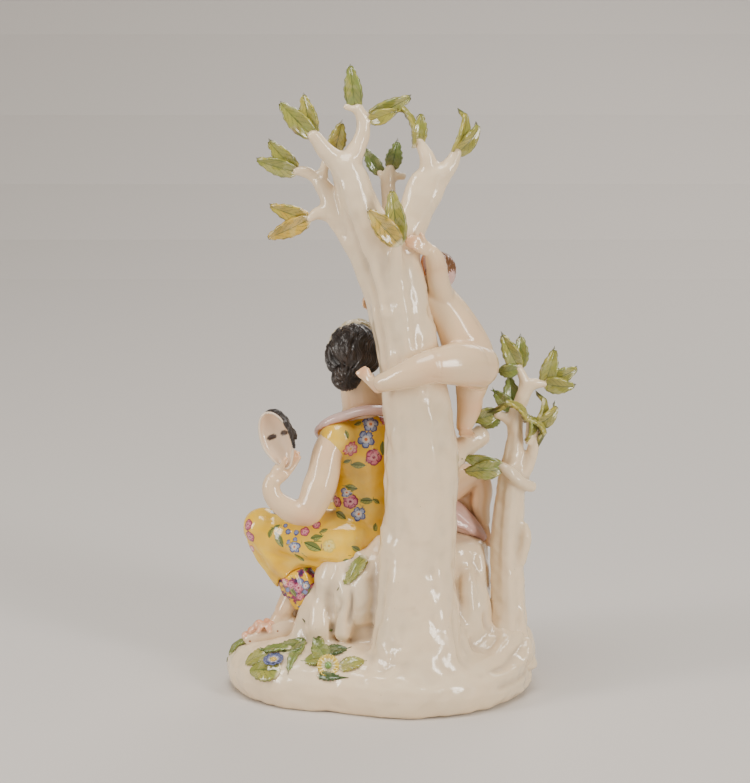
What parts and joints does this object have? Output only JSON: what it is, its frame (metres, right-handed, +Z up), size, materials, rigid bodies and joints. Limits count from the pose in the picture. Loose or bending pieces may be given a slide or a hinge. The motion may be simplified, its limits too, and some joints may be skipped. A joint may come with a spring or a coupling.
{
  "type": "porcelain figure group",
  "caption": "Glazed porcelain group on a mound: a seated woman holds a mask beside a forked tree that a child climbs, with a second child on a rock and a small leafy tree.",
  "frame": {"origin": "on the ground under the middle of the mound's foot", "axes": "+Z up, -Y towards the back of the group where the trunk stands foremost, +X towards the small tree"},
  "size_m": [0.1665, 0.1261, 0.296],
  "materials": {
    "glazed_porcelain": "clear glaze over painted hard-paste porcelain"
  },
  "bodies": {
    "root": {"porcelain_group": "glazed_porcelain"}
  },
  "joints": []
}
